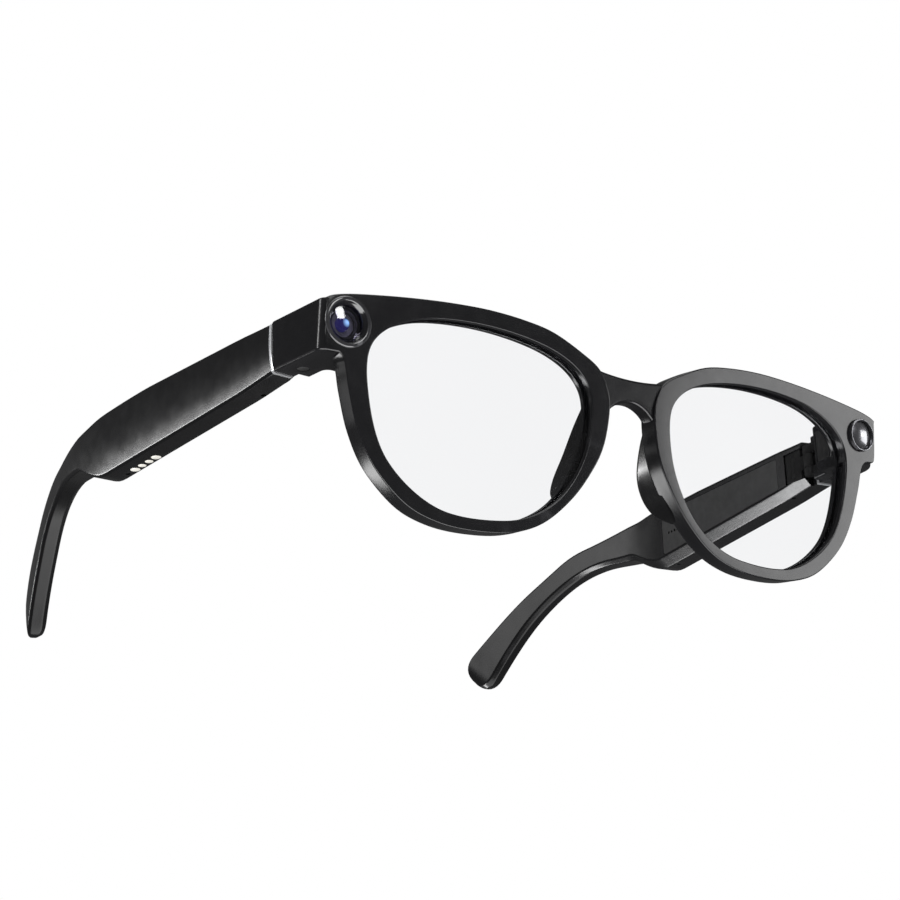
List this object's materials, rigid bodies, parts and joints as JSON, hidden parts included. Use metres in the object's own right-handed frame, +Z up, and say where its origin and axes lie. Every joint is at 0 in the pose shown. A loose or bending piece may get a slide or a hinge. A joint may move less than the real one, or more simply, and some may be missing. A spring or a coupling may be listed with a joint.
{
  "type": "smart glasses",
  "caption": "Black smart glasses: clear-lens front with a corner camera and light, and two folding electronics temples with curved ear tips.",
  "frame": {"origin": "middle of the footprint, on the table that the rims and the ear tips stand on", "axes": "+X to the wearer's left, the front faces -Y, +Z up"},
  "size_m": [0.1606, 0.1473, 0.0443],
  "materials": {
    "black_gloss": "satin black moulded plastic with polished edges",
    "black_matte": "fine matt black",
    "clear_lens": "clear, anti-reflection coated",
    "pad_rubber": "smooth soft-touch black",
    "silver": "bright polished silver",
    "hinge_steel": "brushed stainless steel",
    "optic_glass": "coated optical glass",
    "barrel_black": "matt black",
    "sensor": "dark polished silicon",
    "board": "green solder mask",
    "flex": "amber polyimide film",
    "led": "phosphor yellow",
    "diffuser": "frosted clear",
    "battery_foil": "satin foil",
    "shield": "tin-plated",
    "mesh": "fine woven steel mesh",
    "speaker_black": "matt dark grey",
    "contact_gold": "pale gold plating",
    "magnet": "nickel plating",
    "switch": "dark grey"
  },
  "bodies": {
    "front": {"front_frame": "black_gloss", "brow_cover": "black_matte", "brow_cable": "flex", "lens_right": "clear_lens", "lens_left": "clear_lens", "nose_pad_right": "pad_rubber", "nose_pad_left": "pad_rubber", "endpiece_cover_right": "black_matte", "endpiece_cover_left": "black_matte", "camera_bezel": "black_gloss", "camera_window": "optic_glass", "camera_barrel": "barrel_black", "camera_lens_front": "optic_glass", "camera_lens_middle": "optic_glass", "camera_lens_rear": "optic_glass", "camera_filter": "optic_glass", "camera_sensor": "sensor", "camera_board": "board", "light_ring": "silver", "light_lens": "diffuser", "light_led": "led", "light_board": "board", "front_mic_mesh_right": "mesh", "front_mic_mesh_left": "mesh", "front_leaf_right": "hinge_steel", "front_leaf_left": "hinge_steel", "hinge_pin_right": "hinge_steel", "hinge_pin_left": "hinge_steel", "front_hinge_screws": "hinge_steel"},
    "temple_right": {"temple_shell_right": "black_gloss", "temple_cover_right": "black_matte", "seam_ring_right": "silver", "temple_leaf_right": "hinge_steel", "battery_right": "battery_foil", "main_board": "board", "processor_shield": "shield", "speaker_right": "speaker_black", "speaker_mesh_right": "mesh", "touch_sensor": "flex", "charging_contacts": "contact_gold", "charging_magnets": "magnet", "ear_tip_right": "black_gloss", "core_wire_right": "hinge_steel", "hinge_screws_right": "hinge_steel", "capture_switch": "switch"},
    "temple_left": {"temple_shell_left": "black_gloss", "temple_cover_left": "black_matte", "seam_ring_left": "silver", "temple_leaf_left": "hinge_steel", "battery_left": "battery_foil", "audio_board": "board", "speaker_left": "speaker_black", "speaker_mesh_left": "mesh", "ear_tip_left": "black_gloss", "core_wire_left": "hinge_steel", "hinge_screws_left": "hinge_steel", "power_switch": "switch"},
    "capture_button": {"capture_button": "black_gloss"},
    "power_button": {"power_button": "black_gloss"}
  },
  "joints": [
    {"name": "hinge_right", "type": "hinge", "parent": "front", "child": "temple_right", "pos_m": [-0.0673, -0.05484, 0.03404], "axis": [0, -0.0436, -0.999], "range_deg": [0, 80]},
    {"name": "hinge_left", "type": "hinge", "parent": "front", "child": "temple_left", "pos_m": [0.0673, -0.05484, 0.03404], "axis": [0, 0.0436, 0.999], "range_deg": [0, 90]},
    {"name": "capture_press", "type": "slide", "parent": "temple_right", "child": "capture_button", "axis": [0, -0.0436, -0.999], "range_m": [0, 0.0003], "stiffness_N_per_m": 2000, "springref_m": -0.0002},
    {"name": "power_press", "type": "slide", "parent": "temple_left", "child": "power_button", "axis": [0, -0.0436, -0.999], "range_m": [0, 0.0003], "stiffness_N_per_m": 2000, "springref_m": -0.0002}
  ]
}
